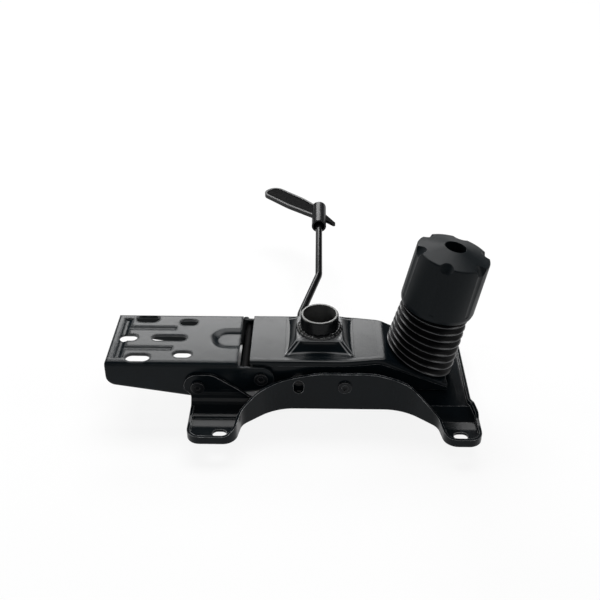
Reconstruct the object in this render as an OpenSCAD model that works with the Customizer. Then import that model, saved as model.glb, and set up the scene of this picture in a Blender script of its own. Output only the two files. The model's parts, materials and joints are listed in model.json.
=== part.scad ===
// Synchro tilt mechanism of an office chair, upside down as it lies on a bench.
// Millimetres. The seat's bolt pattern is centred on the origin and the seat face is at z = 0.
// +X points to the front of the chair and +Z points down in use, towards the gas lift.

/* [Seat plate] */
// Distance between the seat bolts along the chair
seat_bolt_l = 200; // [190:1:210]
// Distance between the seat bolts across the chair
seat_bolt_w = 155; // [150:1:160]
// Width of a seat bolt slot
seat_slot_w = 9; // [7:0.5:10]
// Length of a seat bolt slot, along the chair
seat_slot_l = 12; // [11:0.5:14]
// Sheet thickness of the seat plate
plate_t = 2.5; // [2:0.1:3]
// Edge distance of a seat bolt to the side
foot_side = 11; // [10:0.5:14]
// Edge distance of a rear seat bolt to the rear
foot_rear = 27; // [24:0.5:30]
// Edge distance of a front seat bolt to the front
foot_front = 17; // [15:0.5:20]
// Corner radius of the feet
foot_r = 11; // [8:0.5:12]
// Height of the turned-up rim round the feet
rim_h = 7; // [5:0.5:9]
// Height of the waist walls
waist_h = 36.8; // [35:0.2:38]
// Distance between the bends where the waist walls start to flare
waist_l = 109; // [100:1:115]
// Inner radius of the bend between a rear foot and its ear
foot_bend_r = 18; // [14:0.5:20]
// Height of the cross plate's lower face
cross_h = 9.5; // [9:0.1:11]
// Place of the cross plate's rear edge
cross_rear_x = 48; // [46:0.5:52]
// How far the front edge is set back between the feet
front_setback = 6; // [3:0.5:8]
// Radius of a rear ear
ear_r = 12; // [11:0.5:13]

/* [Pivots] */
// Place of the rear pivot along the chair
rear_pivot_x = -67; // [-69:0.5:-65]
// Height of the rear pivot
rear_pivot_z = 29.4; // [28.5:0.1:30.5]
// Place of the seat pivot along the chair
seat_pivot_x = 4.4; // [2:0.2:7]
// Height of the seat pivot
seat_pivot_z = 24; // [22:0.2:25]
// Place of the link rivets along the chair
link_x = -121; // [-123:0.5:-119]
// Height of the link rivets
link_z = 22.7; // [21.5:0.1:24]
// Diameter of the rear and seat pivot shafts
shaft_d = 10; // [8:0.2:11]
// Diameter of the link rivets
link_d = 8; // [7:0.2:9]
// Diameter of the shaft heads
head_d = 11.6; // [11:0.2:13]
// Thickness of the shaft heads
head_t = 1.8; // [1.4:0.1:2.2]
// Gap between a link rivet's head and its ear
rivet_gap = 0.8; // [0.7:0.05:1]
// Play of the link rivets along their slots, each way
link_play = 0.85; // [0.7:0.05:1.2]
// Play of the link rivets across their slots, each way
link_side = 0.1; // [0.08:0.01:0.15]
// Thickness of the rear pivot washers
washer_t = 0.7; // [0.5:0.1:1]

/* [Housing] */
// Outer width of the housing
housing_w = 69.2; // [66:0.2:72]
// Sheet thickness of the housing
shell_t = 2.5; // [2:0.1:3]
// Height of the housing's flat face
housing_top = 46.8; // [46:0.1:49]
// Height of the housing's lower edge
housing_bottom = 14; // [13.5:0.1:15]
// Rear edge of the housing's flat face
housing_rear = -76.4; // [-78:0.2:-75.6]
// Place where the nose bends down
nose_bend_x = 35.4; // [33:0.2:38]
// Slope of the nose
nose_angle = 26; // [24:0.5:28]
// Front edge of the nose
nose_end_x = 92.9; // [90:0.2:94]
// Width of the nose
nose_w = 61; // [58:0.5:64]
// Radius of the housing's long edges
edge_r = 4; // [3:0.1:4.5]
// Length of the floor between the housing's heels
rear_floor_l = 26; // [22:0.5:30]
// How far that floor reaches behind the heels
rear_floor_reach = 3; // [2:0.5:4]
// Height of the cover's lip along the housing's sides
lip_h = 6; // [5:0.1:6.4]
// How far the cover's lip stands out
lip_t = 0.7; // [0.5:0.05:0.8]
// Sheet thickness of the inner channel
liner_t = 2; // [1.5:0.1:2.5]
// Reach of the inner channel in front of the socket's axis
liner_front = 17; // [16:0.2:18]
// Length of the inner channel
liner_l = 52; // [46:0.5:54]

/* [Gas lift socket] */
// Place of the socket along the chair
socket_x = -17.6; // [-20:0.2:-15]
// Outer diameter of the socket
socket_d = 33; // [32:0.2:36]
// Diameter of the socket's mouth
socket_bore_d = 28.2; // [27.6:0.1:28.6]
// Length of the straight mouth of the bore
socket_land = 12; // [8:0.5:16]
// Narrowing of the bore's diameter at its inner end
socket_taper = 1; // [0.5:0.1:1.6]
// Height of the socket's mouth
socket_top = 71.5; // [68:0.5:75]
// Height of the socket's inner end
socket_bottom = 33; // [32:0.5:36]
// Height of the star boss above the flat face
boss_h = 9.8; // [8:0.2:11]
// Half width of the star boss at its foot
boss_foot = 29.6; // [28.5:0.1:30.2]
// Half width of the star boss at its flat top
boss_flat = 19.6; // [19:0.1:21]
// Reach of the boss's ridges from the socket's axis, at their foot
boss_reach = 42.4; // [40:0.2:43]
// Reach of the boss's ridges from the socket's axis, at the flat top
ridge_reach = 26; // [25:0.2:27]

/* [Back channel] */
// Rear edge of the back channel
channel_rear = -199.6; // [-205:0.5:-196]
// Front edge of the back channel's flat face
channel_front = -86.6; // [-89:0.2:-86]
// Height of the back channel's flat face
channel_top = 44.5; // [43.5:0.1:45.5]
// Sheet thickness of the back channel
channel_t = 2.5; // [2:0.1:3]
// Lowest edge of the skirts
skirt_low = 10.8; // [10:0.1:12]
// Height of the skirts' lower edge at the rear
skirt_rear_z = 22.7; // [20:0.1:25]
// Radius of the skirts' front ends
skirt_end_r = 11; // [10:0.1:11.5]
// Diameter of the stop bar
stop_d = 6; // [5:0.1:6.4]

/* [Tension] */
// Tilt of the tension bolt towards the front
bolt_tilt = 11.5; // [10:0.5:13]
// Place of the bolt at the saddle
bolt_x = 65.4; // [64:0.2:67]
// Diameter of the bolt
bolt_d = 10; // [9:0.2:11]
// Radius of the saddle's round face
saddle_r = 9; // [8:0.1:9]
// Length of the saddle, across the chair
saddle_l = 30; // [26:0.5:34]
// Diameter of the knob
knob_d = 64; // [62:0.5:68]
// Height of the knob
knob_h = 56.5; // [52:0.5:60]
// Number of flutes on the knob
knob_flutes = 6; // [5:1:8]
// Turn of the flutes from the near side
flute_turn = 18; // [0:1:60]
// Depth of a flute
flute_depth = 1.6; // [1:0.1:2]
// Diameter of the hole in the knob's top
knob_hole_d = 18.5; // [18:0.1:20]
// Length of the bellows that shows, along the bolt
bellows_l = 53; // [48:0.5:56]
// Outer diameter of the bellows
bellows_d = 57.6; // [56:0.1:58]
// Depth of the bellows' folds
fold_depth = 3.5; // [2.5:0.1:3.6]
// Number of folds
fold_count = 9; // [7:1:10]
// Wall of the bellows
bellows_t = 1.2; // [1:0.1:1.3]
// Wire of the tension spring
wire_d = 4.6; // [4:0.1:4.8]
// Mean diameter of the tension spring
coil_d = 41; // [38:0.2:41.4]
// Turns of the tension spring
coil_turns = 5.5; // [4:0.5:6]

/* [Lever] */
// Place of the lever's axis along the chair
lever_x = -35; // [-36:0.2:-34]
// Height of the lever's axis
lever_z = 26; // [25:0.1:26.4]
// Diameter of the lever rod
rod_d = 7; // [6.4:0.1:8]
// Where the rod bends forward, across the chair
rod_bend_y = 68; // [64:0.5:72]
// Where the rod bends back, across the chair
rod_turn_y = 130; // [124:0.5:136]
// How far the rod steps forward
rod_step = 17; // [14:0.2:19]
// Rise of the rod outside the housing
rod_rise = 6.2; // [4:0.2:8]
// Radius of the rod's bends
rod_bend_r = 20; // [14:0.5:26]
// Distance of the collar from the middle of the chair
collar_y = 217; // [210:1:224]
// Length of the collar
collar_l = 40; // [36:0.5:46]
// Diameter of the collar
collar_d = 15.5; // [14:0.1:17]
// Length of the paddle's blade
paddle_l = 82; // [76:0.5:90]
// Width of the paddle's blade
paddle_w = 25; // [22:0.5:28]
// Thickness of the paddle's blade
paddle_t = 4.4; // [4:0.1:5.4]
// Angle of the blade behind the rod
paddle_angle = 45; // [40:1:52]

/* [Fits] */
// Running clearance round shafts and rods
run_gap = 0.05; // [0.02:0.01:0.08]
// Gap between sheets that turn against each other
side_gap = 0.15; // [0.1:0.01:0.25]
// Gap between moving faces that stop against each other
rest_gap = 0.3; // [0.2:0.05:0.4]
// Gap between pieces that are welded or pressed together
weld_gap = 0.05; // [0.02:0.01:0.08]

/* [Hidden] */
$fn = 48;

paint = [0.06, 0.06, 0.065];
steel = [0.62, 0.62, 0.64];
plastic = [0.09, 0.09, 0.095];
rubber = [0.05, 0.05, 0.05];
nylon = [0.75, 0.74, 0.7];

// Half widths of the nested sheets
housing_y = housing_w / 2;
skirt_in = housing_y + washer_t + 2 * side_gap;
skirt_out = skirt_in + channel_t;
web_gap = 0.6;
web_in = skirt_out + web_gap;
web_out = web_in + plate_t;
side_y = seat_bolt_w / 2 + foot_side;
rear_x = -seat_bolt_l / 2 - foot_rear;
front_x = seat_bolt_l / 2 + foot_front;

// Radii of the round fits
shaft_r = shaft_d / 2;
link_r = link_d / 2;
rod_r = rod_d / 2;
bolt_r = bolt_d / 2;
socket_r = socket_d / 2;

// Frame of the bolt: its axis starts at the saddle's centre
saddle_z = cross_h - rest_gap - saddle_r;
nose_rel = nose_angle - bolt_tilt;
nose_drop = housing_top - saddle_z - (bolt_x - nose_bend_x) * tan(nose_angle);
nose_s = nose_drop / (cos(bolt_tilt) + sin(bolt_tilt) * tan(nose_angle));
nose_end_z = housing_top - (nose_end_x - nose_bend_x) * tan(nose_angle);

// Heights along the bolt
bellows_r = bellows_d / 2;
valley_r = bellows_r - fold_depth;
spring_seat_r = valley_r - bellows_t - 0.6;
spring_seat_s = nose_s + spring_seat_r * tan(nose_rel) + 1.5;
knob_s = nose_s + bellows_l;
mouth_lap = 6;
cap_t = 3;
cap_s = knob_s + mouth_lap + rest_gap;
washer_s = cap_s + cap_t;
thrust_t = 1.6;
insert_s = washer_s + thrust_t + side_gap;
insert_l = 11;
insert_r = 8.2;
knob_top_s = knob_s + knob_h;
bolt_end_s = knob_top_s - 17;

// Lever: the axis, the bends and the collar
rod_slope = tan(rod_rise);
rod_in_y = -housing_y - 1;
rod_bend = [lever_x, rod_bend_y, lever_z];
rod_turn = [lever_x + rod_step, rod_turn_y, lever_z + (rod_turn_y - rod_bend_y) * rod_slope];
rod_end_y = collar_y + collar_l - 8;
rod_end = [lever_x + rod_step, rod_end_y, lever_z + (rod_end_y - rod_bend_y) * rod_slope];
collar_z = lever_z + (collar_y - rod_bend_y) * rod_slope;
liner_y = housing_y - shell_t - weld_gap;
liner_in = liner_y - liner_t;
bush_wall = 2.5;
bush_flange = 1.5;

function unit(v) = v / norm(v);
function left(v) = [-v.y, v.x];
function cross2(a, b) = a.x * b.y - a.y * b.x;
function turn(a) = a > 180 ? a - 360 : a < -180 ? a + 360 : a;
function angle2(v) = atan2(v.y, v.x);

// One corner b between a and c, rounded to radius r in n steps
function corner(a, b, c, r, n) =
    let (u = unit(a - b), v = unit(c - b), half = acos(u * v) / 2)
    r <= 0 || half > 89.5 ? [b] :
    let (m = b + unit(u + v) * r / sin(half), p = b + u * r / tan(half), q = b + v * r / tan(half))
    let (a0 = angle2(p - m), da = turn(angle2(q - m) - a0))
    [for (i = [0:n]) m + r * [cos(a0 + da * i / n), sin(a0 + da * i / n)]];

// An outline of corners [x, y, radius]
function rounded(vs, n = 8) =
    let (k = len(vs), at = [for (v = vs) [v.x, v.y]])
    [for (i = [0:k - 1]) each corner(at[(i + k - 1) % k], at[i], at[(i + 1) % k], vs[i][2], n)];

// The same outline, anticlockwise, drawn in by d
function inset(vs, d) =
    let (k = len(vs))
    [for (i = [0:k - 1])
        let (a = vs[(i + k - 1) % k], b = vs[i], c = vs[(i + 1) % k])
        let (u = unit([b.x - a.x, b.y - a.y]), v = unit([c.x - b.x, c.y - b.y]))
        let (m = (left(u) + left(v)) * d / (1 + left(u) * left(v)), out = cross2(u, v) >= 0)
        [b.x + m.x, b.y + m.y, b[2] <= 0 ? 0 : out ? max(b[2] - d, 0.5) : b[2] + d]];

// A slot of length l and width w along X
module slot_outline(l, w) {
    square([l - w, w], center = true);
    for (s = [-1, 1]) translate([s * (l - w) / 2, 0]) circle(d = w);
}

// A profile drawn in X and Z, extruded across the chair from y0 to y1
module across(y0, y1) {
    translate([0, y1, 0]) rotate([90, 0, 0]) linear_extrude(y1 - y0) children();
}

// A profile drawn in Y and Z, extruded along the chair from x0 to x1
module along(x0, x1) {
    translate([x0, 0, 0]) rotate([90, 0, 90]) linear_extrude(x1 - x0) children();
}

// A cylinder across the chair from y0 to y1
module pin(x, z, r, y0, y1) {
    translate([x, y1, z]) rotate([90, 0, 0]) cylinder(r = r, h = y1 - y0);
}

module both_sides() {
    children();
    mirror([0, 1, 0]) children();
}

// The bolt's own frame
module on_bolt(s = 0) {
    translate([bolt_x, 0, saddle_z]) rotate([0, bolt_tilt, 0]) translate([0, 0, s]) children();
}

// A closed skin through rings of as many points each
module loft(rings) {
    k = len(rings[0]);
    m = len(rings);
    sides = [for (i = [0:m - 2], j = [0:k - 1]) each
        let (a = i * k + j, b = i * k + (j + 1) % k)
        [[a, a + k, b], [b, a + k, b + k]]];
    ends = [[for (j = [0:k - 1]) j], [for (j = [k - 1:-1:0]) (m - 1) * k + j]];
    polyhedron([for (r = rings) each r], concat(sides, ends));
}

// A tube of rings with the outer skin in the first list and the inner skin in the second
module tube_loft(outer, inner) {
    k = len(outer[0]);
    m = len(outer);
    skins = concat(outer, [for (i = [m - 1:-1:0]) inner[i]]);
    n = len(skins);
    faces = [for (i = [0:n - 1], j = [0:k - 1]) each
        let (i2 = (i + 1) % n, a = i * k + j, b = i * k + (j + 1) % k, c = i2 * k + j, d = i2 * k + (j + 1) % k)
        [[a, c, b], [b, c, d]]];
    polyhedron([for (r = skins) each r], faces);
}

// Housing

// Height of the housing's face at x, with a round bend of radius bend_r
bend_r = 22;
bend_half = bend_r * tan(nose_angle / 2);
function face_z(x) =
    let (d = x - nose_bend_x)
    d < -bend_half ? housing_top :
    d < bend_half * cos(nose_angle)
        ? housing_top - bend_r + sqrt(max(0, bend_r * bend_r - pow(d + bend_half, 2)))
        : housing_top - d * tan(nose_angle);
function face_slope(x) =
    let (d = x - nose_bend_x)
    d < -bend_half ? 0 : d < bend_half * cos(nose_angle) ? asin((d + bend_half) / bend_r) : nose_angle;
narrow_x = 2;
function half_width(x) =
    let (t = min(1, max(0, (x - narrow_x) / (nose_bend_x - narrow_x))))
    housing_y + (nose_w / 2 - housing_y) * t * t * (3 - 2 * t);

// The housing's section at x, wider by lip and drawn in by t
function section(x, lip, t, low) =
    let (w = half_width(x) + lip - t, z = face_z(x) - t / cos(face_slope(x)), r = max(edge_r - t, 0.5))
    [for (p = rounded([[w, low, 0], [w, z, r], [-w, z, r], [-w, low, 0]], 5)) [x, p.x, p.y]];

heel_x = rear_pivot_x - 18;
heel_z = rear_pivot_z + 0.8;
stop_x = rear_pivot_x - 14;
stop_z = heel_z + rest_gap + stop_d / 2;
bend_steps = 5;
stations = concat(
    [heel_x, narrow_x, (narrow_x + nose_bend_x - bend_half) / 2],
    [for (i = [0:bend_steps]) nose_bend_x - bend_half + (1 + cos(nose_angle)) * bend_half * i / bend_steps],
    [nose_end_x]);
inner_stations = concat([heel_x - 5], [for (i = [1:len(stations) - 2]) stations[i]], [nose_end_x + 5]);

// The boss at the share u of its height: four hollow sides that meet in ridges towards the corners
boss_points = 96;
function boss_ring(u) =
    let (side = boss_flat + (boss_foot - boss_flat) * pow(1 - u, 1.7))
    let (reach = boss_reach + (ridge_reach - boss_reach) * u, z = housing_top + boss_h * u)
    [for (j = [0:boss_points - 1])
        let (a = 360 * j / boss_points, d = abs(45 - (a + 45) % 90), r = side / cos(d))
        let (ridge = r + (reach - side * sqrt(2)) * pow(d / 45, 5))
        [socket_x + ridge * cos(a), ridge * sin(a), z]];

module star_boss() {
    steps = 7;
    sunk = [for (p = boss_ring(0)) [p.x, p.y, housing_top - shell_t / 2]];
    loft(concat([sunk], [for (i = [0:steps]) boss_ring(i / steps)]));
}

// Below the cover's lip the walls stand back by lip_t
module below_lip() {
    k = len(stations) - 1;
    wall = [for (x = stations) [x, half_width(x)]];
    line = [for (x = stations) [x, face_z(x) - min(lip_h, 0.45 * (face_z(x) - housing_bottom))]];
    both_sides() intersection() {
        translate([0, 0, -1]) linear_extrude(housing_top) polygon(concat(
            [wall[0] - [5, 0]], wall, [wall[k] + [5, 0], wall[k] + [5, 20], wall[0] + [-5, 20]]));
        across(0, housing_w) polygon(concat(
            [line[0] - [5, 0]], line, [line[k] + [5, 0], [line[k].x + 5, -1], [line[0].x - 5, -1]]));
    }
}

module housing_shell() {
    color(paint) difference() {
        union() {
            difference() {
                loft([for (x = stations) section(x, lip_t, 0, housing_bottom)]);
                loft([for (x = inner_stations) section(x, 0, shell_t, housing_bottom - 5)]);
            }
            star_boss();
            translate([heel_x - rear_floor_reach, -housing_y + shell_t / 2, housing_bottom + 0.5])
                cube([rear_floor_l, housing_w - shell_t, shell_t]);
        }
        below_lip();
        // Open rear end above the heels that carry the stop bar
        translate([heel_x - 1, -housing_y - 1, heel_z])
            cube([housing_rear - heel_x + 1, housing_w + 2, housing_top]);
        translate([heel_x - 1, -housing_y - 1, heel_z])
            cube([housing_rear + 2 - heel_x + 1, housing_w + 2, housing_top - edge_r - 0.6 - heel_z]);
        translate([socket_x, 0, socket_bottom]) cylinder(r = socket_r + weld_gap, h = socket_top);
        translate([socket_x, 0, housing_top - shell_t - 1])
            cylinder(r1 = socket_r + 7, r2 = socket_r + 1.5, h = boss_h);
        on_bolt() cylinder(r = bolt_r + 3, h = nose_s + 12);
        pin(rear_pivot_x, rear_pivot_z, shaft_r + weld_gap, -housing_w, housing_w);
        pin(seat_pivot_x, seat_pivot_z, shaft_r + weld_gap, -housing_w, housing_w);
        pin(lever_x, lever_z, rod_r + bush_wall + weld_gap, -housing_w, housing_w);
    }
}

liner_top = housing_top - shell_t - weld_gap;
liner_x0 = socket_x + liner_front - liner_l;
liner_r = max(edge_r - shell_t, 0.5) + 0.8;
module inner_channel() {
    color(paint) difference() {
        along(liner_x0, liner_x0 + liner_l) polygon(concat(
            rounded([[liner_y, housing_bottom, 0], [liner_y, liner_top, liner_r],
                [-liner_y, liner_top, liner_r], [-liner_y, housing_bottom, 0]]),
            [[-liner_in, housing_bottom], [-liner_in, liner_top - liner_t]],
            [[liner_in, liner_top - liner_t], [liner_in, housing_bottom]]));
        translate([socket_x, 0, socket_bottom]) cylinder(r = socket_r + weld_gap, h = socket_top);
        pin(seat_pivot_x, seat_pivot_z, shaft_r + weld_gap, -housing_w, housing_w);
        pin(lever_x, lever_z, rod_r + bush_wall + weld_gap, -housing_w, housing_w);
    }
}

module gas_socket() {
    bore_r = socket_bore_d / 2;
    land_z = socket_top - socket_land;
    color(steel) translate([socket_x, 0, 0]) rotate_extrude() polygon([
        [bore_r - socket_taper / 2, socket_bottom], [socket_r, socket_bottom],
        [socket_r, socket_top - 1], [socket_r - 0.8, socket_top],
        [bore_r, socket_top], [bore_r, land_z]]);
}

module socket_weld() {
    leg = 3;
    r0 = socket_r + weld_gap;
    z0 = housing_top + boss_h + weld_gap;
    color(steel) translate([socket_x, 0, 0]) rotate_extrude() polygon([
        [r0, z0], [r0 + leg, z0], [r0 + leg * 0.8, z0 + leg * 0.5], [r0 + leg * 0.4, z0 + leg * 0.9], [r0, z0 + leg]]);
}

// A shaft with a ring-shaped head outside y1 on each side
module headed_shaft(x, z, r, y1) {
    dimple_r = r * 0.55;
    dimple = head_t * 0.7;
    difference() {
        union() {
            pin(x, z, r, -y1, y1);
            both_sides() pin(x, z, head_d / 2, y1, y1 + head_t);
        }
        both_sides() pin(x, z, dimple_r, y1 + head_t - dimple, y1 + head_t + 1);
    }
}

module rear_shaft() {
    color(steel) headed_shaft(rear_pivot_x, rear_pivot_z, shaft_r, skirt_out + side_gap);
}

module rear_washers() {
    color(nylon) both_sides() difference() {
        pin(rear_pivot_x, rear_pivot_z, skirt_end_r - 1.5, housing_y + side_gap, housing_y + side_gap + washer_t);
        pin(rear_pivot_x, rear_pivot_z, shaft_r + run_gap, 0, housing_w);
    }
}

module seat_shaft() {
    color(steel) headed_shaft(seat_pivot_x, seat_pivot_z, shaft_r, web_out + side_gap);
}

module seat_spacers() {
    color(steel) both_sides() difference() {
        pin(seat_pivot_x, seat_pivot_z, shaft_r + 3.5, housing_y + weld_gap, web_in - side_gap);
        pin(seat_pivot_x, seat_pivot_z, shaft_r + weld_gap, 0, housing_w);
    }
}

module lever_bushes() {
    r = rod_r + bush_wall;
    color(nylon) both_sides() difference() {
        union() {
            pin(lever_x, lever_z, r, liner_in - weld_gap - bush_flange, housing_y + 0.5);
            pin(lever_x, lever_z, r + 2, liner_in - weld_gap - bush_flange, liner_in - weld_gap);
        }
        pin(lever_x, lever_z, rod_r + run_gap, 0, housing_w);
    }
}

// Tension assembly, in the bolt's frame

module spring_seat() {
    color(steel) difference() {
        on_bolt(nose_s - 12) cylinder(r = spring_seat_r, h = spring_seat_s - nose_s + 12);
        on_bolt(nose_s) rotate([0, nose_rel, 0]) translate([-60, -60, weld_gap - 60]) cube([120, 120, 60]);
        on_bolt() cylinder(r = bolt_r + 1, h = spring_seat_s + 10);
    }
}

// Points of the helix, from the seat to the cap
wire_r = wire_d / 2;
coil_low = spring_seat_s + wire_r + side_gap;
coil_high = cap_s - wire_r - side_gap;
coil_rings = 8 * coil_turns;
wire_sides = 6;
function helix(t) = [coil_d / 2 * cos(360 * t), coil_d / 2 * sin(360 * t), coil_low + (coil_high - coil_low) * t / coil_turns];
function helix_dir(t) = unit([-PI * coil_d * sin(360 * t), PI * coil_d * cos(360 * t), (coil_high - coil_low) / coil_turns]);
function wire_ring(t) =
    let (p = helix(t), d = helix_dir(t), out = [cos(360 * t), sin(360 * t), 0], up = cross(d, out))
    [for (j = [0:wire_sides - 1]) p + wire_r * (cos(360 * j / wire_sides) * out + sin(360 * j / wire_sides) * up)];
coil_points = [for (i = [0:coil_rings]) helix(i / 8)];
coil_gap = min([for (i = [0:coil_rings - 5], j = [i + 5:coil_rings]) norm(coil_points[i] - coil_points[j])]) - wire_d;
echo(least_gap_of_the_spring_to_itself_mm = coil_gap);

module tension_spring() {
    color(steel) on_bolt() loft([for (i = [0:coil_rings]) wire_ring(i / 8)]);
}

// A ring of the bellows at share u of its length: flat on the nose at 0 and square to the bolt at 1
bellows_sides = 28;
bellows_low = nose_s + rest_gap;
bellows_high = cap_s - rest_gap;
function bellows_ring(u, r) =
    let (s = bellows_low + (bellows_high - bellows_low) * u, lean = nose_rel * (1 - u))
    [for (j = [0:bellows_sides - 1])
        let (a = 360 * j / bellows_sides)
        [r * cos(a) * cos(lean), r * sin(a), s - r * cos(a) * sin(lean)]];

module bellows() {
    steps = 2 * fold_count;
    color(rubber) on_bolt() tube_loft(
        [for (k = [0:steps]) bellows_ring(k / steps, k % 2 == 0 ? valley_r : bellows_r)],
        [for (k = [0:steps]) bellows_ring(k / steps, (k % 2 == 0 ? valley_r : bellows_r) - bellows_t)]);
}

bolt_head_t = 5;
bolt_head_r = bolt_r + 2;
bolt_head_s = 3.4;
module tension_bolt() {
    color(steel) on_bolt() {
        translate([0, 0, bolt_head_s]) cylinder(r = bolt_r, h = bolt_end_s - bolt_head_s - 1);
        translate([0, 0, bolt_end_s - 1]) cylinder(r1 = bolt_r, r2 = bolt_r - 1, h = 1);
        translate([0, 0, bolt_head_s - bolt_head_t + 3]) cylinder(r = bolt_head_r, h = bolt_head_t - 3);
    }
}

module saddle() {
    pocket_s = bolt_head_s + weld_gap;
    color(steel) difference() {
        translate([bolt_x, 0, saddle_z]) intersection() {
            pin(0, 0, saddle_r, -saddle_l / 2, saddle_l / 2);
            translate([-saddle_r, -saddle_l / 2, 0]) cube([2 * saddle_r, saddle_l, saddle_r]);
        }
        on_bolt(-10) cylinder(r = bolt_r + weld_gap, h = 40);
        on_bolt(pocket_s - 10) cylinder(r = bolt_head_r + weld_gap, h = 10);
    }
}

cap_r = bellows_r - 1.5;
pilot_r = coil_d / 2 - wire_r - 1;
module spring_cap() {
    color(steel) on_bolt() difference() {
        union() {
            translate([0, 0, cap_s]) cylinder(r = cap_r, h = cap_t);
            translate([0, 0, cap_s - 5]) cylinder(r1 = pilot_r - 1, r2 = pilot_r, h = 5);
        }
        cylinder(r = bolt_r + run_gap, h = knob_top_s);
    }
}

module thrust_washer() {
    color(nylon) on_bolt(washer_s) difference() {
        cylinder(r = insert_r + 3, h = thrust_t);
        translate([0, 0, -1]) cylinder(r = bolt_r + run_gap, h = thrust_t + 2);
    }
}

module knob_insert() {
    color(steel) on_bolt(insert_s) difference() {
        cylinder(r = insert_r, h = insert_l);
        translate([0, 0, -1]) cylinder(r = bolt_r + run_gap, h = insert_l + 2);
    }
}

knob_r = knob_d / 2;
knob_wall = 2.2;
knob_floor = insert_s + 0.6 - knob_s;
module tension_knob() {
    top_r = 1.6;
    scoop = 7.5;
    scoop_angle = 50.5;
    foot_round = 4;
    hub_r = insert_r + 4;
    mouth_r = knob_r - knob_wall;
    core_r = knob_r - flute_depth - knob_wall;
    flute_r = 15;
    flute_low = 7;
    flute_fade = 1.2;
    roof = knob_h - 8;
    insert_top = insert_s + insert_l - knob_s;
    outer = rounded([[0, -1, 0], [knob_r - 1, 0, 2], [knob_r, foot_round, 6], [knob_r - 0.8, knob_h - 4.2, top_r],
        [knob_hole_d / 2 - 1, knob_h + 1.5, 0], [0, knob_h + 1.5, 0]], 6);
    color(plastic) on_bolt(knob_s) difference() {
        rotate_extrude() polygon(outer);
        translate([0, 0, -2]) cylinder(r = mouth_r, h = knob_floor + 2);
        translate([0, 0, knob_floor - 0.5]) difference() {
            cylinder(r = core_r, h = roof - knob_floor);
            translate([0, 0, -1]) cylinder(r = hub_r, h = roof);
            for (k = [0:5]) rotate([0, 0, 60 * k + 30]) translate([0, -1, -1]) cube([knob_r, 2, roof]);
        }
        cylinder(r = insert_r + weld_gap, h = insert_top + weld_gap);
        translate([0, 0, insert_top - 1]) cylinder(d = knob_hole_d, h = knob_h);
        for (k = [0:knob_flutes - 1]) rotate([0, 0, 360 / knob_flutes * k - 90 - flute_turn])
        {
            translate([knob_r - flute_depth + flute_fade + flute_r, 0, flute_low])
                rotate([0, -atan(flute_fade / (knob_h - flute_low)), 0]) cylinder(r = flute_r, h = knob_h);
            translate([knob_r - flute_depth - 3.2, 0, knob_h - 5.7]) rotate([0, 90 + scoop_angle, 0])
                translate([-scoop, 0, -15]) cylinder(r = scoop, h = 30);
        }
    }
}

// Seat plate

diag_y = side_y - 24.5;
flare_x = waist_l / 2;
flare_end = flare_x + (diag_y - web_out) * 1.22;
near_side = [
    [rear_x, -side_y, foot_r], [-flare_end - 4.5, -side_y, 12], [-flare_end, -diag_y, 14], [-flare_x, -web_out, 45],
    [flare_x, -web_out, 45], [flare_end, -diag_y, 14], [flare_end + 4.5, -side_y, 12], [front_x, -side_y, foot_r]];
step_y = web_out + 9;
front_notch = [[front_x, -step_y - 6, 8], [front_x - front_setback, -step_y + 4, 8]];
near_half = concat(near_side, front_notch);
plan = concat(near_half, [for (i = [len(near_half) - 1:-1:0]) [near_half[i].x, -near_half[i].y, near_half[i][2]]]);

// Height of the walls along the chair
wall_heights = [
    [-flare_end - 45, -1, 0], [flare_end + 14, -1, 0], [flare_end + 14, rim_h, 0], [flare_end + 4.5, rim_h, 10],
    [flare_x + 6, waist_h - 9, 25], [seat_pivot_x + 24, waist_h, 60], [seat_pivot_x - 24, waist_h, 60],
    [-flare_x - 16, waist_h - 12, 22], [-flare_end - 12, rim_h, 12], [-flare_end - 45, rim_h, 0]];

// Lower side of the front part, from the middle to a foot, and t above it
step_run = 10;
function front_section(t) = [
    [-side_y - 1, 0], [-step_y - step_run, 0], [-step_y, cross_h], [step_y, cross_h], [step_y + step_run, 0], [side_y + 1, 0],
    [side_y + 1, t], [step_y + step_run, t], [step_y, cross_h + t], [-step_y, cross_h + t], [-step_y - step_run, t],
    [-side_y - 1, t]];

// A rear foot: floor, large bend and ear
bend_out = foot_bend_r + plate_t;
bend_y = web_out + foot_bend_r;
function quarter(r, a0, a1) =
    [for (i = [0:10]) let (a = a0 + (a1 - a0) * i / 10) [bend_y + r * cos(a), bend_out + r * sin(a)]];
foot_section = concat(
    [[web_out, waist_h], [web_in, waist_h]], quarter(bend_out, 180, 270),
    [[side_y + 1, 0], [side_y + 1, plate_t]], quarter(foot_bend_r, 270, 180));
notch_x = rear_pivot_x - 9;
notch_z = housing_bottom - 1.5;
ear_side = [
    [rear_x, -1, 0], [-flare_x + 8, -1, 0], [-flare_x + 8, notch_z, 0], [notch_x, notch_z, 10],
    [link_x + 13, link_z + ear_r, 14], [link_x - ear_r, link_z + ear_r, ear_r], [link_x - ear_r, link_z - 3, 3],
    [rear_x, bend_out - 6, 4]];

// Plan of a rear foot on the +Y side, with room for its ear
foot_plan = concat(
    [[link_x - ear_r - 2, web_in - 1, 0], [link_x - ear_r - 2, web_out + 4, 0], [rear_x, web_out + 4, 0]],
    [for (p = near_side) if (p.x < 0) [p.x, -p.y, p[2]]], [[-flare_x + 10, web_in - 1, 0]]);

module plan_prism() {
    translate([0, 0, -1]) linear_extrude(waist_h + 2) polygon(rounded(plan));
}

module rim_band() {
    difference() {
        plan_prism();
        translate([0, 0, -2]) linear_extrude(waist_h + 4) polygon(rounded(inset(plan, plate_t)));
        translate([rear_x - 1, -web_in, -2]) cube([cross_rear_x - rear_x, 2 * web_in, waist_h + 4]);
    }
}

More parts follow.
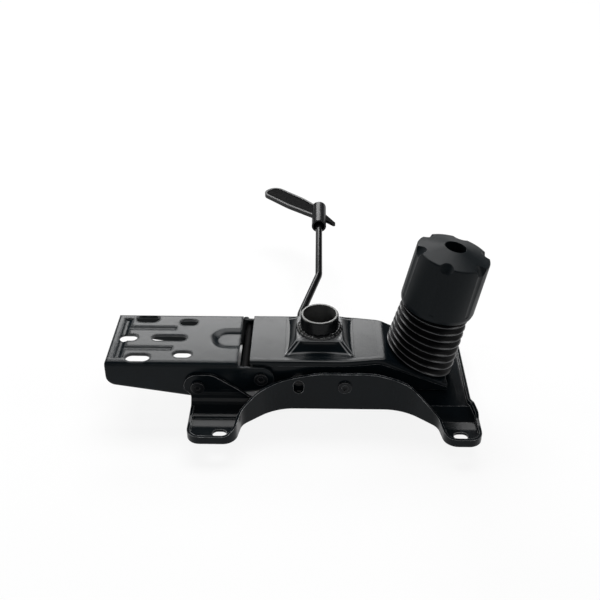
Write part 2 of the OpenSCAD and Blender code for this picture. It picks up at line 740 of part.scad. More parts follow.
lever_slot_h = rod_d + 6.4;
module seat_plate() {
    rim_front_x = flare_end + 8;
    color(paint) difference() {
        union() {
            intersection() {
                rim_band();
                union() {
                    difference() {
                        across(-side_y - 1, side_y + 1) polygon(rounded(wall_heights));
                        translate([-500, -500, -500]) cube([1000, 1000, 500]);
                    }
                    along(rim_front_x, front_x + 1) polygon(front_section(rim_h));
                }
            }
            intersection() {
                plan_prism();
                along(cross_rear_x, front_x + 1) polygon(front_section(plate_t));
            }
            both_sides() intersection() {
                translate([0, 0, -1]) linear_extrude(waist_h + 2) polygon(rounded(foot_plan));
                along(link_x - ear_r - 1, -flare_x + 9) polygon(foot_section);
                across(0, side_y + 1) polygon(rounded(ear_side));
            }
        }
        for (sx = [-1, 1], sy = [-1, 1])
            translate([sx * seat_bolt_l / 2, sy * seat_bolt_w / 2, -1])
                linear_extrude(plate_t + 2) slot_outline(seat_slot_l, seat_slot_w);
        pin(seat_pivot_x, seat_pivot_z, shaft_r + run_gap, -side_y, side_y);
        both_sides() translate([link_x, web_in - 1, link_z]) rotate([-90, 0, 0])
            linear_extrude(plate_t + 2) slot_outline(link_d + 2 * link_play, link_d + 2 * link_side);
        both_sides() translate([lever_x, web_in - 1, lever_z - 2.6]) rotate([-90, 0, 0])
            linear_extrude(plate_t + 2) rotate(90) slot_outline(lever_slot_h, rod_d + 1.8);
        on_bolt() translate([0, 0, -5]) linear_extrude(40) slot_outline(2 * bolt_r + 7, 2 * bolt_r + 4);
    }
}

// Back channel

ear_top = rear_pivot_z + skirt_end_r;
skirt_side = [
    [channel_rear, channel_top, 1.5], [channel_rear, skirt_rear_z, 9], [link_x - 7, skirt_low, 12],
    [link_x + 22, skirt_low + 1, 12], [rear_pivot_x + skirt_end_r, rear_pivot_z - skirt_end_r, skirt_end_r],
    [rear_pivot_x + skirt_end_r, ear_top, skirt_end_r], [channel_front, ear_top, 2], [channel_front, channel_top, 1]];
channel_edge_r = 4;
slot_pairs = [[-172.6, 29.6, 21, 10.8], [-134.9, 24.6, 16, 9.4]];
middle_slots = [[-185.2, 0, 16, 10], [-149.3, 0, 30.7, 9.2]];
channel_slots = concat([for (p = slot_pairs, s = [-1, 1]) [p.x, s * p.y, p[2], p[3]]], middle_slots);

// A pressed groove of width w and depth d from a to b in the flat face
module groove(a, b, w, d) {
    r = (w * w / 4 + d * d) / (2 * d);
    len_ab = norm(b - a);
    translate([a.x, a.y, channel_top - d + r]) rotate([0, 90, angle2(b - a)]) cylinder(r = r, h = len_ab);
}

// Outline of the pressed pocket at the channel's front edge, at height z
function pocket_ring(r, z) = concat([[30, -r, z], [30, r, z]], [for (i = [0:12]) [r * cos(90 + 15 * i), r * sin(90 + 15 * i), z]]);

module back_channel() {
    groove_x = channel_rear + 9.5;
    pocket_r = 15.5;
    pocket_d = channel_t * 0.72;
    pocket_foot = pocket_r - 6.5;
    outer = rounded([[skirt_out, 0, 0], [skirt_out, channel_top, channel_edge_r], [-skirt_out, channel_top, channel_edge_r],
        [-skirt_out, 0, 0]], 6);
    in_r = channel_edge_r - channel_t;
    in_top = channel_top - channel_t;
    inner = rounded([[-skirt_in, 0, 0], [-skirt_in, in_top, in_r], [skirt_in, in_top, in_r], [skirt_in, 0, 0]], 4);
    color(paint) difference() {
        intersection() {
            along(channel_rear - 1, rear_pivot_x + skirt_end_r + 1) polygon(concat(outer, inner));
            across(-housing_w, housing_w) polygon(rounded(skirt_side));
        }
        for (q = channel_slots) translate([q.x, q.y, channel_top - 2 * channel_t])
            linear_extrude(4 * channel_t) slot_outline(q[2], q[3]);
        groove([groove_x, -skirt_out + 8], [groove_x, skirt_out - 8], 9, channel_t * 0.62);
        for (s = [-1, 1]) groove([groove_x, s * pocket_r], [groove_x + 45, s * pocket_r], 7, channel_t * 0.5);
        translate([channel_front - 11, 0, channel_top]) loft([
            pocket_ring(pocket_foot, -pocket_d), pocket_ring(pocket_r, 0), pocket_ring(pocket_r + 0.5, 1)]);
        pin(rear_pivot_x, rear_pivot_z, shaft_r + run_gap, -housing_w, housing_w);
        pin(link_x, link_z, link_r + weld_gap, -housing_w, housing_w);
        pin(stop_x, stop_z, stop_d / 2 + weld_gap, -skirt_out + 1, skirt_out - 1);
    }
}

module stop_bar() {
    color(steel) pin(stop_x, stop_z, stop_d / 2, -skirt_out + 1.2, skirt_out - 1.2);
}

module link_rivets() {
    inner_head = 1.6;
    color(steel) both_sides() difference() {
        union() {
            pin(link_x, link_z, link_r, skirt_in - inner_head, web_out + rivet_gap);
            pin(link_x, link_z, link_r + 2, skirt_in - inner_head - weld_gap, skirt_in - weld_gap);
            pin(link_x, link_z, head_d / 2, web_out + rivet_gap, web_out + rivet_gap + head_t);
        }
        pin(link_x, link_z, link_r * 0.55, web_out + rivet_gap + head_t * 0.4, housing_w);
    }
}

// Lever

// The straight runs and round bends of a rod through the points ps
module bent_rod(ps, r, bend) {
    k = len(ps);
    lap = 0.3;
    dirs = [for (i = [0:k - 2]) unit(ps[i + 1] - ps[i])];
    cuts = [for (i = [0:k - 1]) i == 0 || i == k - 1 ? 0 : bend * tan(acos(dirs[i - 1] * dirs[i]) / 2)];
    for (i = [0:k - 2]) {
        d = dirs[i];
        lap0 = i == 0 ? 0 : lap;
        lap1 = i == k - 2 ? 0 : lap;
        p = ps[i] + d * (cuts[i] - lap0);
        l = norm(ps[i + 1] - ps[i]) - cuts[i] - cuts[i + 1] + lap0 + lap1;
        translate(p) rotate([0, acos(d.z), atan2(d.y, d.x)]) cylinder(r = r, h = l);
    }
    for (i = [1:k - 2]) {
        y = dirs[i - 1];
        n = unit(dirs[i] - (dirs[i] * y) * y);
        z = cross(-n, y);
        c = ps[i] - y * cuts[i] + n * bend;
        multmatrix([[-n.x, y.x, z.x, c.x], [-n.y, y.y, z.y, c.y], [-n.z, y.z, z.z, c.z], [0, 0, 0, 1]])
            rotate_extrude(angle = acos(y * dirs[i])) translate([bend, 0]) circle(r = r - 0.02);
    }
}

module lever_rod() {
    color(paint) bent_rod([[lever_x, rod_in_y, lever_z], rod_bend, rod_turn, rod_end], rod_r, rod_bend_r);
}

finger_w = 12;
finger_t = 3.5;
module lever_finger() {
    reach = socket_x - lever_x + 7;
    collar_r = rod_r + 2.5;
    color(steel) difference() {
        union() {
            pin(lever_x, lever_z, collar_r, -finger_w / 2, finger_w / 2);
            translate([lever_x, -finger_w / 2, lever_z - finger_t / 2]) cube([reach, finger_w, finger_t]);
            pin(socket_x, lever_z + finger_t / 2 - 1, 3, -finger_w / 2, finger_w / 2);
        }
        pin(lever_x, lever_z, rod_r + weld_gap, -housing_w, housing_w);
    }
}

module lever_clip() {
    y = liner_in - weld_gap - bush_flange - side_gap;
    color(steel) both_sides() difference() {
        pin(lever_x, lever_z, rod_r + 2.2, y - 1.2, y);
        pin(lever_x, lever_z, rod_r + weld_gap, 0, housing_w);
    }
}

// The collar lies along the rod, and the blade and its tail lie flat at the collar's height
module lever_paddle() {
    shroud = 14;
    mouth_r = collar_d / 2 - 1.6;
    blade_z = collar_z + collar_l * 0.55 * rod_slope;
    blade_y = collar_y + collar_l * 0.6;
    w = paddle_w / 2;
    blade = [[-4, -w + 4, 4], [paddle_l * 0.45, -w, 60], [paddle_l, -w + 1, w - 2], [paddle_l, w - 1, w - 2],
        [paddle_l * 0.45, w, 60], [-4, w - 4, 4]];
    tail = [[2, -5, 2], [29, -1.4, 1.2], [29.5, 1.4, 1.2], [2, 5, 2]];
    color(plastic) difference() {
        union() {
            translate([lever_x + rod_step, collar_y, collar_z]) rotate([rod_rise - 90, 0, 0]) {
                cylinder(d = collar_d, h = collar_l - 3);
                translate([0, 0, collar_l - 3]) cylinder(d1 = collar_d, d2 = collar_d - 5, h = 3);
            }
            translate([lever_x + rod_step, blade_y, blade_z - paddle_t / 2]) {
                rotate([0, 0, 90 + paddle_angle]) difference() {
                    linear_extrude(paddle_t) polygon(rounded(blade));
                    translate([0, 0, paddle_t - 0.8]) linear_extrude(2) polygon(rounded(inset(blade, 2.5)));
                }
                rotate([0, 0, -55]) linear_extrude(paddle_t * 0.8) polygon(rounded(tail));
            }
        }
        translate([lever_x + rod_step, collar_y, collar_z]) rotate([rod_rise - 90, 0, 0]) {
            translate([0, 0, -1]) cylinder(r = mouth_r, h = shroud + 1);
            cylinder(r = rod_r + weld_gap, h = rod_end_y - collar_y + 1);
        }
    }
}

housing_shell();
inner_channel();
gas_socket();
socket_weld();
rear_shaft();
rear_washers();
seat_shaft();
seat_spacers();
lever_bushes();
spring_seat();
tension_spring();
bellows();
seat_plate();
back_channel();
stop_bar();
link_rivets();
tension_bolt();
saddle();
spring_cap();
thrust_washer();
tension_knob();
knob_insert();
lever_rod();
lever_finger();
lever_clip();
lever_paddle();
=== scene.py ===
import json
import math

import bpy
from mathutils import Matrix, Vector, noise


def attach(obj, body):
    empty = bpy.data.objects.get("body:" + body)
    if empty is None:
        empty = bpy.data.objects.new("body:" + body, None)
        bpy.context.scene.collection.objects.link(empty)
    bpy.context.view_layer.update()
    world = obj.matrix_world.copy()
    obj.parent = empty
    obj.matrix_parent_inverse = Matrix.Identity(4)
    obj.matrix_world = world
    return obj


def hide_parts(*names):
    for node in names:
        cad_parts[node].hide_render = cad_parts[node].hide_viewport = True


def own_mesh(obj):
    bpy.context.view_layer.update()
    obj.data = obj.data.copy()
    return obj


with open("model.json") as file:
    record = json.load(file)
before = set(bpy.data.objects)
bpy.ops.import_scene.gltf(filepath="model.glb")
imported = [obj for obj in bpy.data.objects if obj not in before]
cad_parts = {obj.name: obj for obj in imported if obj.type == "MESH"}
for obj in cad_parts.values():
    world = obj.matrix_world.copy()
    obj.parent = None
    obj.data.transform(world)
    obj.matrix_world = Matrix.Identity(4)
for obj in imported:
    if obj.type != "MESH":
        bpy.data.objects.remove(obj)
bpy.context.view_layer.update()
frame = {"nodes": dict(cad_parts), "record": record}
nodes = frame["nodes"]


# Shader wiring
class Wire:
    def __init__(self, graph, source):
        self.graph = graph
        self.source = source

    def math(self, kind, first, second=None):
        values = {0: first} if second is None else {0: first, 1: second}
        return self.graph.node("ShaderNodeMath", {"operation": kind}, values)

    def __add__(self, other):
        return self.math("ADD", self, other)

    def __radd__(self, other):
        return self.math("ADD", other, self)

    def __sub__(self, other):
        return self.math("SUBTRACT", self, other)

    def __rsub__(self, other):
        return self.math("SUBTRACT", other, self)

    def __mul__(self, other):
        return self.math("MULTIPLY", self, other)

    def __rmul__(self, other):
        return self.math("MULTIPLY", other, self)

    def __pow__(self, other):
        return self.math("POWER", self, other)

    def absolute(self):
        return self.math("ABSOLUTE", self)

    def larger(self, other):
        return self.math("MAXIMUM", self, other)

    def clamped(self):
        return self.graph.node("ShaderNodeClamp", {}, {"Value": self, "Min": 0.0, "Max": 1.0})


class Graph:
    bevelSamples = 6

    def __init__(self, tree):
        self.tree = tree
        self.tree.nodes.clear()

    def node(self, kind, settings, values, out=0):
        made = self.tree.nodes.new(kind)
        for key, value in settings.items():
            setattr(made, key, value)
        for key, value in values.items():
            self.feed(made.inputs[key], value)
        return Wire(self, made.outputs[out]) if len(made.outputs) else None

    def feed(self, entry, value):
        if isinstance(value, Wire):
            self.tree.links.new(value.source, entry)
        else:
            entry.default_value = value

    def place(self):
        return self.node("ShaderNodeTexCoord", {}, {}, "Object")

    def axis(self, name):
        return self.node("ShaderNodeSeparateXYZ", {}, {0: self.place()}, name)

    def cloud(self, scale, detail=4.0, rough=0.55, vector=None):
        values = {"Vector": vector or self.place(), "Scale": scale, "Detail": detail, "Roughness": rough}
        return self.node("ShaderNodeTexNoise", {}, values)

    def stretched(self, scale):
        return self.node("ShaderNodeVectorMath", {"operation": "MULTIPLY"}, {0: self.place(), 1: scale})

    def fit(self, value, low, high, toLow=0.0, toHigh=1.0):
        values = {"Value": value, "From Min": low, "From Max": high, "To Min": toLow, "To Max": toHigh}
        return self.node("ShaderNodeMapRange", {"interpolation_type": "SMOOTHSTEP"}, values)

    def mix(self, share, first, second):
        made = self.tree.nodes.new("ShaderNodeMix")
        made.data_type = "RGBA"
        wanted = {("Factor", "VALUE"): share, ("A", "RGBA"): first, ("B", "RGBA"): second}
        for entry in made.inputs:
            if (entry.name, entry.type) in wanted:
                value = wanted[entry.name, entry.type]
                self.feed(entry, (*value, 1.0) if isinstance(value, tuple) else value)
        return Wire(self, [out for out in made.outputs if out.type == "RGBA"][0])

    def plainNormal(self):
        return self.node("ShaderNodeNewGeometry", {}, {}, "Normal")

    def facing(self):
        return self.node("ShaderNodeSeparateXYZ", {}, {0: self.plainNormal()}, "Z")

    def bevel(self, radius):
        return self.node("ShaderNodeBevel", {"samples": self.bevelSamples}, {"Radius": radius})

    def edge(self, radius, sharp):
        values = {0: self.plainNormal(), 1: self.bevel(radius)}
        dot = self.node("ShaderNodeVectorMath", {"operation": "DOT_PRODUCT"}, values, "Value")
        return self.fit(1.0 - dot, 0.0, sharp)

    def bump(self, height, strength, distance, normal=None):
        values = {"Height": height, "Strength": strength, "Distance": distance}
        if normal:
            values["Normal"] = normal
        return self.node("ShaderNodeBump", {}, values)

    # A height in metres, only where the surface faces up
    def relief(self, height, form, normal):
        return self.bump(height, self.fit(self.facing(), form["steep"], form["gentle"]), 1.0, normal)

    def surface(self, values):
        made = self.node("ShaderNodeBsdfPrincipled", {}, values)
        self.node("ShaderNodeOutputMaterial", {}, {"Surface": made})


def material(name):
    made = bpy.data.materials.new(name)
    made.use_nodes = True
    return made, Graph(made.node_tree)


# Places on the CAD part in metres, shares of painted highlight, and how far a face looks up
socket = {
    "x": -0.0176, "wall": 0.0153, "top": 0.0715, "foot": 0.0567, "outside": 0.01655, "leg": 0.0029,
    "soft": 0.0004, "rimFoot": 0.0006, "rimTop": 0.0002,
}
boss = {
    "foot": 0.0469, "top": 0.0567, "ridge": 0.0017, "line": 0.0008, "share": 0.75, "brow": 0.0005,
    "fadeFoot": 0.0004, "fadeTop": 0.0014, "curve": 0.003, "rise": 0.0024, "steep": 0.2, "gentle": 0.5,
}
groove = {
    "top": 0.0445, "deep": 0.0022, "near": 0.0002, "side": 0.034, "share": 0.6, "flat": 0.95, "bent": 0.75,
}
sweep = {"outer": 0.0712, "inner": 0.0568, "rise": 0.0019, "steep": 0.5, "gentle": 0.8}


# Painted highlight lines along the boss's ridges and the brow round its flat top
def bossRidgeHighlights(g):
    across = (g.axis("X") - socket["x"]).absolute()
    along = g.axis("Y").absolute()
    z = g.axis("Z")
    off = (across - along).absolute() * math.sqrt(0.5)
    ridge = g.fit((off - boss["ridge"]).absolute(), boss["line"], 0.0)
    brow = g.fit((z - boss["top"] + boss["brow"]).absolute(), boss["line"], 0.0)
    fade = g.fit(z, boss["foot"] + boss["fadeFoot"], boss["foot"] + boss["fadeTop"])
    return boss["share"] * ridge.larger(brow) * fade


# The boss's faces run out into the flat top in a hollow curve
def bossFoot(g, normal):
    low, high = boss["foot"] - boss["curve"], boss["foot"] + boss["curve"]
    return g.relief(g.fit(g.axis("Z"), low, high, 2.0 * boss["rise"], 0.0), boss, normal)


# The floors of the feet sweep up towards the bend
def footSweep(g, normal):
    height = g.fit(g.axis("Y").absolute(), sweep["outer"], sweep["inner"], 0.0, sweep["rise"])
    return g.relief(height, sweep, normal)


# The pressed grooves of the channel: a painted highlight on their flanks, as soft bends would catch the
# light
def grooveFlankHighlights(g):
    depth = groove["top"] - g.axis("Z")
    flank = g.fit(depth, 0.0, groove["near"]) * g.fit(depth, groove["deep"], groove["deep"] - groove["near"])
    flank = flank * g.fit(g.facing(), groove["flat"], groove["bent"])
    within = g.fit(g.axis("Y").absolute(), groove["side"], groove["side"] - groove["near"])
    return groove["share"] * flank * within


paint = {
    "patch": {"scale": 26.0, "detail": 7.0, "rough": 0.65}, "patchLow": 0.5, "patchHigh": 0.76,
    "patchShare": 0.5, "patchRough": 0.08, "lighter": 1.9,
    "chip": {"scale": 120.0, "detail": 3.0}, "chipLow": 0.36, "chipHigh": 0.6, "chipLeast": 0.3,
    "sharp": 0.2, "edgeRough": 0.1,
    "peel": {"scale": 330.0, "detail": 2.0, "rough": 0.5},
    "wave": {"scale": 45.0, "detail": 2.0, "rough": 0.5}, "waveShare": 3.0,
    "strength": 0.08, "depth": 0.0003,
}


# Gloss black paint on pressed steel: orange peel, a few rubbed patches, and a pale band along the edges that
# is thin paint and a painted edge highlight
def paintMaterial(
    name, dark, rough, edgeWearAndHighlightTone, edgeShare=0.7, soften=0.0007, wearAndHighlightBand=0.0006, gloss=0.11, lines=None, form=None
):
    made, g = material(name)
    rubbed = g.fit(g.cloud(**paint["patch"]), paint["patchLow"], paint["patchHigh"])
    unevenEdge = g.fit(g.cloud(**paint["chip"]), paint["chipLow"], paint["chipHigh"], paint["chipLeast"], 1.0)
    edge = edgeShare * g.edge(wearAndHighlightBand, paint["sharp"]) * unevenEdge
    # Painted highlight lines, when given, join the pale edge band
    if lines:
        edge = edge.larger(lines(g))
    normal = form(g, g.bevel(soften)) if form else g.bevel(soften)
    tone = g.mix(rubbed * paint["patchShare"], dark, tuple(paint["lighter"] * c for c in dark))
    # The pale edge band: thin paint and a painted edge highlight
    tone = g.mix(edge, tone, edgeWearAndHighlightTone)
    height = g.cloud(**paint["peel"]) + paint["waveShare"] * g.cloud(**paint["wave"])
    g.surface({
        "Base Color": tone,
        "Roughness": rough + paint["patchRough"] * rubbed + paint["edgeRough"] * edge,
        "Specular IOR Level": gloss,
        "Normal": g.bump(height, paint["strength"], paint["depth"], normal),
    })
    return made


plastic = {
    "patch": {"scale": 24.0, "detail": 5.0, "rough": 0.6}, "patchLow": 0.42, "patchHigh": 0.7,
    "patchShare": 0.5, "patchRough": 0.08, "lighter": 1.5,
    "edge": 0.0006, "sharp": 0.25, "edgeShare": 0.5, "edgeHighlightLighter": 2.4,
    "grain": {"scale": 1300.0, "detail": 2.0, "rough": 0.6}, "depth": 0.0002,
}


# Moulded plastic with a fine even grain and a painted highlight along its edges
def plasticMaterial(name, dark, rough, gloss, grain):
    made, g = material(name)
    patch = g.fit(g.cloud(**plastic["patch"]), plastic["patchLow"], plastic["patchHigh"])
    edge = g.edge(plastic["edge"], plastic["sharp"])
    tone = g.mix(patch * plastic["patchShare"], dark, tuple(plastic["lighter"] * c for c in dark))
    # The lighter edges are a painted edge highlight
    tone = g.mix(edge * plastic["edgeShare"], tone, tuple(plastic["edgeHighlightLighter"] * c for c in dark))
    height = g.cloud(**plastic["grain"])
    g.surface({
        "Base Color": tone,
        "Roughness": rough + plastic["patchRough"] * patch,
        "Specular IOR Level": gloss,
        "Normal": g.bump(height, grain, plastic["depth"], g.bevel(plastic["edge"])),
    })
    return made


# Colours: valley is a painted shade, flank lies between, crest is a painted highlight line
rubber = {
    "valley": (0.0006, 0.0006, 0.0008), "flank": (0.0016, 0.0018, 0.0022), "crest": (0.13, 0.132, 0.14),
    "valleyShadeEnd": 0.8, "lineFrom": 0.86, "lineTo": 0.99, "lineLeast": 0.5,
    "sheenFrom": 0.62, "sheenTo": 0.95, "sheen": 0.8,
    "patch": {"scale": 60.0, "detail": 5.0, "rough": 0.6}, "patchLow": 0.35, "patchHigh": 0.7,
    "rough": 0.44, "patchRough": 0.08,
    "grain": {"scale": 500.0, "detail": 2.0, "rough": 0.6}, "strength": 0.04, "depth": 0.0002,
}


# Moulded rubber: a painted highlight line along the crests of the folds, with a coat there for a dull shine,
# and painted shade in the valleys
def rubberMaterial():
    made, g = material("bellowsRubber")
    crest = g.node("ShaderNodeAttribute", {"attribute_name": "crest"}, {}, "Fac")
    patch = g.fit(g.cloud(**rubber["patch"]), rubber["patchLow"], rubber["patchHigh"])
    uneven = rubber["lineLeast"] + (1.0 - rubber["lineLeast"]) * patch
    line = g.fit(crest, rubber["lineFrom"], rubber["lineTo"]) * uneven
    # Painted shade in the valleys, then a painted highlight along the crests
    tone = g.mix(g.fit(crest, 0.0, rubber["valleyShadeEnd"]), rubber["valley"], rubber["flank"])
    tone = g.mix(line, tone, rubber["crest"])
    height = g.cloud(**rubber["grain"])
    g.surface({
        "Base Color": tone,
        "Roughness": rubber["rough"] + rubber["patchRough"] * patch,
        "Specular IOR Level": 0.05,
        "Coat Weight": rubber["sheen"] * g.fit(crest, rubber["sheenFrom"], rubber["sheenTo"]),
        "Coat Roughness": 0.22,
        "Normal": g.bump(height, rubber["strength"], rubber["depth"]),
    })
    return made


steel = {
    "streak": {"scale": 1.0, "detail": 4.0, "rough": 0.6}, "stretch": (900.0, 900.0, 60.0),
    "stain": {"scale": 70.0, "detail": 6.0, "rough": 0.65}, "stainLow": 0.4, "stainHigh": 0.68,
    "metal": 0.85, "stainMetal": 0.3, "stainRough": 0.15,
    "strength": 0.15, "depth": 0.0001, "edge": 0.0004,
}


# Plain drawn steel with faint streaks and stains
def steelMaterial(name, bright, dull, rough):
    made, g = material(name)
    streak = g.cloud(**steel["streak"], vector=g.stretched(steel["stretch"]))
    stain = g.fit(g.cloud(**steel["stain"]), steel["stainLow"], steel["stainHigh"])
    g.surface({
        "Base Color": g.mix(stain, bright, dull),
        "Metallic": steel["metal"] - steel["stainMetal"] * stain,
        "Roughness": rough + steel["stainRough"] * stain,
        "Normal": g.bump(streak, steel["strength"], steel["depth"], g.bevel(steel["edge"])),
    })
    return made


paddle = {
    "panel": 0.04598, "near": 0.0003, "close": 0.0001, "steep": 0.6, "gentle": 0.9,
    "rimTone": (0.0055, 0.0058, 0.0064), "panelTone": (0.0015, 0.0015, 0.0017),
    "speckTone": (0.016, 0.016, 0.017), "speckLow": 0.5, "speckHigh": 0.68, "speckShare": 0.5,
    "edgeWearAndHighlightTone": (0.12, 0.12, 0.125), "edge": 0.0006, "sharp": 0.25, "edgeShare": 0.6,
    "rough": 0.32, "panelRough": 0.4, "coat": 0.32,
    "grain": {"scale": 700.0, "detail": 3.0, "rough": 0.65}, "rimGrain": 0.04,
    "strength": 0.8, "depth": 0.0014,
}


# The paddle: a smooth rim round a sunk panel with a coarse moulded grain, and a painted highlight along its
# edges
def paddleMaterial():
    made, g = material("paddlePlastic")
    level = g.fit((g.axis("Z") - paddle["panel"]).absolute(), paddle["near"], paddle["close"])
    panel = level * g.fit(g.facing(), paddle["steep"], paddle["gentle"])
    grain = g.cloud(**paddle["grain"])
    speck = panel * g.fit(grain, paddle["speckLow"], paddle["speckHigh"])
    tone = g.mix(panel, paddle["rimTone"], paddle["panelTone"])
    tone = g.mix(speck * paddle["speckShare"], tone, paddle["speckTone"])
    # A painted highlight along the paddle's edges
    tone = g.mix(g.edge(paddle["edge"], paddle["sharp"]) * paddle["edgeShare"], tone, paddle["edgeWearAndHighlightTone"])
    height = grain * (paddle["rimGrain"] + panel)
    g.surface({
        "Base Color": tone,
        "Roughness": paddle["rough"] + paddle["panelRough"] * panel,
        "Specular IOR Level": 0.05,
        "Coat Weight": paddle["coat"] - paddle["coat"] * panel,
        "Coat Roughness": 0.3,
        "Normal": g.bump(height, paddle["strength"], paddle["depth"], g.bevel(paddle["edge"])),
    })
    return made


tube = {
    "black": (0.0035, 0.004, 0.0046), "bore": (0.11, 0.11, 0.108), "stained": (0.06, 0.06, 0.059),
    "rim": (0.095, 0.095, 0.093),
    "stain": {"scale": 55.0, "detail": 6.0, "rough": 0.65}, "stainLow": 0.38, "stainHigh": 0.7,
    "boreShare": 0.5, "metal": 0.6, "rough": 0.2, "bareRough": 0.18, "stainRough": 0.08,
    "grain": {"scale": 300.0, "detail": 3.0}, "strength": 0.15, "depth": 0.0003, "edge": 0.0006,
}


# The socket: black outside, dark steel inside, and a rim worn bright
def socketMaterial():
    made, g = material("socketSteel")
    x = g.axis("X") - socket["x"]
    y = g.axis("Y")
    radius = (x * x + y * y) ** 0.5
    inside = g.fit(radius, socket["wall"] + socket["soft"], socket["wall"] - socket["soft"])
    rim = g.fit(g.axis("Z"), socket["top"] - socket["rimFoot"], socket["top"] - socket["rimTop"])
    stain = g.fit(g.cloud(**tube["stain"]), tube["stainLow"], tube["stainHigh"])
    tone = g.mix(inside, tube["black"], g.mix(stain, tube["bore"], tube["stained"]))
    tone = g.mix(rim, tone, tube["rim"])
    bare = (inside * tube["boreShare"] + rim).clamped()
    grain = g.cloud(**tube["grain"])
    g.surface({
        "Base Color": tone,
        "Metallic": tube["metal"] * bare,
        "Roughness": tube["rough"] + tube["bareRough"] * bare + tube["stainRough"] * stain,
        "Specular IOR Level": 0.13,
        "Normal": g.bump(grain, tube["strength"], tube["depth"], g.bevel(tube["edge"])),
    })
    return made


print("materials")
paintBlack = (0.0023, 0.0042, 0.0057)
# Pale edge colour: thin paint and a painted edge highlight
thinPaintAndHighlight = (0.26, 0.265, 0.27)
blackPaint = paintMaterial("blackPaint", paintBlack, rough=0.19, edgeWearAndHighlightTone=thinPaintAndHighlight)
housingPaint = paintMaterial(
    "housingPaint", paintBlack, rough=0.19, edgeWearAndHighlightTone=thinPaintAndHighlight, edgeShare=0.8, soften=0.0009,
    lines=bossRidgeHighlights, form=bossFoot,
)
# The seat plate's edges carry the brightest painted edge highlight, on the ears and the feet's rims
seatPaint = paintMaterial(
    "seatPaint", paintBlack, rough=0.19, edgeWearAndHighlightTone=(0.42, 0.425, 0.43), edgeShare=1.0, wearAndHighlightBand=0.0009,
    form=footSweep,
)
channelPaint = paintMaterial(
    "channelPaint", (0.0032, 0.0056, 0.0074), rough=0.2, edgeWearAndHighlightTone=(0.2, 0.205, 0.21), edgeShare=0.5,
    soften=0.003, lines=grooveFlankHighlights,
)
weldPaint = paintMaterial(
    "weldPaint", (0.003, 0.0034, 0.0038), rough=0.08, edgeWearAndHighlightTone=(0.1, 0.1, 0.105), edgeShare=0.5,
    soften=0.0003, gloss=0.7,
)
rodPaint = paintMaterial(
    "rodPaint", (0.0026, 0.0027, 0.003), rough=0.15, edgeWearAndHighlightTone=(0.2, 0.2, 0.2), edgeShare=0.5,
)
# The rivets' pale edge rings are a painted highlight
rivetPaint = paintMaterial("rivetPaint", (0.007, 0.0078, 0.009), rough=0.22, edgeWearAndHighlightTone=(0.3, 0.305, 0.31))
dullBlack = plasticMaterial("dullBlack", (0.002, 0.002, 0.0022), rough=0.7, gloss=0.06, grain=0.1)
knobPlastic = plasticMaterial("knobPlastic", (0.0024, 0.0044, 0.0058), rough=0.42, gloss=0.11, grain=0.2)
blackNylon = plasticMaterial("blackNylon", (0.01, 0.01, 0.011), rough=0.45, gloss=0.2, grain=0.1)
bareSteel = steelMaterial("bareSteel", bright=(0.5, 0.49, 0.47), dull=(0.24, 0.22, 0.2), rough=0.3)
paddlePlastic = paddleMaterial()
bellowsRubber = rubberMaterial()
socketSteel = socketMaterial()

finishes = {
    "housing_shell": housingPaint, "inner_channel": blackPaint, "seat_plate": seatPaint,
    "back_channel": channelPaint, "lever_rod": rodPaint, "stop_bar": dullBlack,
    "gas_socket": socketSteel, "socket_weld": weldPaint, "spring_seat": bareSteel,
    "tension_spring": bareSteel, "tension_bolt": bareSteel, "saddle": bareSteel,
    "spring_cap": bareSteel, "knob_insert": bareSteel, "lever_finger": bareSteel, "lever_clip": bareSteel,
    "seat_spacers": bareSteel, "rear_shaft": rivetPaint, "seat_shaft": rivetPaint, "link_rivets": rivetPaint,
    "tension_knob": knobPlastic, "lever_paddle": paddlePlastic, "bellows": bellowsRubber,
    "rear_washers": blackNylon, "lever_bushes": blackNylon, "thrust_washer": blackNylon,
}
for name, made in finishes.items():
    data = nodes[name].data
    data.materials.clear()
    data.materials.append(made)


# A skin over rings of points: a closed loop of rings, or a length with an end at each side
def meshPiece(name, rings, made, body, crests=None, capped=False):
    count = len(rings[0])
    turns = len(rings)
    faces = []
    if capped:
        faces = [tuple(reversed(range(count))), tuple(range((turns - 1) * count, turns * count))]
    for i in range(turns - 1 if capped else turns):
        for j in range(count):
            k = (j + 1) % count
            up = (i + 1) % turns
            faces.append((i * count + j, i * count + k, up * count + k, up * count + j))
    data = bpy.data.meshes.new(name)
    data.from_pydata([tuple(p) for ring in rings for p in ring], [], faces)
    data.update()
    for face in data.polygons:
        face.use_smooth = True
    if crests:
        mark = data.attributes.new("crest", "FLOAT", "POINT")
        mark.data.foreach_set("value", [c for c in crests for j in range(count)])
    data.materials.append(made)
    piece = bpy.data.objects.new(name, data)
    bpy.context.scene.collection.objects.link(piece)
    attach(piece, body)
    return piece


def roundAngles(count):
    return [2.0 * math.pi * j / count for j in range(count)]


print("bellows")
joints = {joint["name"]: joint for joint in frame["record"]["behaviour"]["joints"]}
boltFoot = Vector(joints["knob_turn"]["pos_m"])
boltAxis = -Vector(joints["knob_turn"]["axis"])
boltTurn = Vector((0.0, 0.0, 1.0)).rotation_difference(boltAxis).to_matrix().to_4x4()
boltFrame = Matrix.Translation(boltFoot) @ boltTurn
bellows = {
    "low": 0.02998, "high": 0.08868, "ridge": 0.0288, "valley": 0.0253, "wall": 0.0011, "folds": 9,
    "lean": math.radians(14.5), "spread": 0.0036, "shift": -0.0014, "thin": 1.25, "splitFold": 5,
    "sides": 112, "stepsPerFold": 16, "slack": 0.0017, "lap": 0.085,
}


